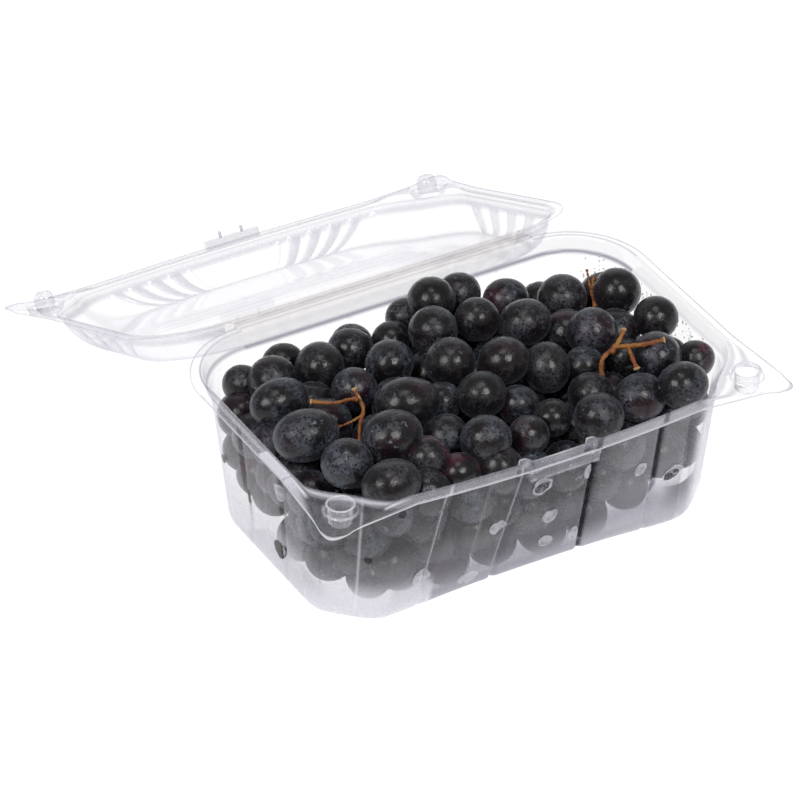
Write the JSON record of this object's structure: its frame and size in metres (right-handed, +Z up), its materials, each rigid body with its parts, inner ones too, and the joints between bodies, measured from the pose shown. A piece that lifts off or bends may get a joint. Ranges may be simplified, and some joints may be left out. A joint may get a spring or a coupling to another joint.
{
  "type": "punnet of grapes",
  "caption": "Open clear plastic punnet with a hinged lid lying back, filled with loose dark grapes and a few stalks.",
  "frame": {"origin": "centre of the flat base that the punnet rests on", "axes": "+X along the hinge, +Y from the latch to the hinge and the opened lid, +Z up"},
  "size_m": [0.1876, 0.2565, 0.0754],
  "materials": {
    "clear_plastic": "clear, thin, glossy",
    "grape_skin": "near-black skin with a pale waxy bloom",
    "stalk": "dry, orange-brown"
  },
  "bodies": {
    "tray": {"tray": "clear_plastic", "grape_heap": "grape_skin", "stalk_left": "stalk", "stalk_right": "stalk", "stalk_back": "stalk"},
    "lid": {"lid": "clear_plastic"}
  },
  "joints": [
    {"name": "lid_hinge", "type": "hinge", "parent": "tray", "child": "lid", "pos_m": [0, 0.0666, 0.0642], "axis": [1, 0, 0], "range_deg": [0, 204]}
  ]
}
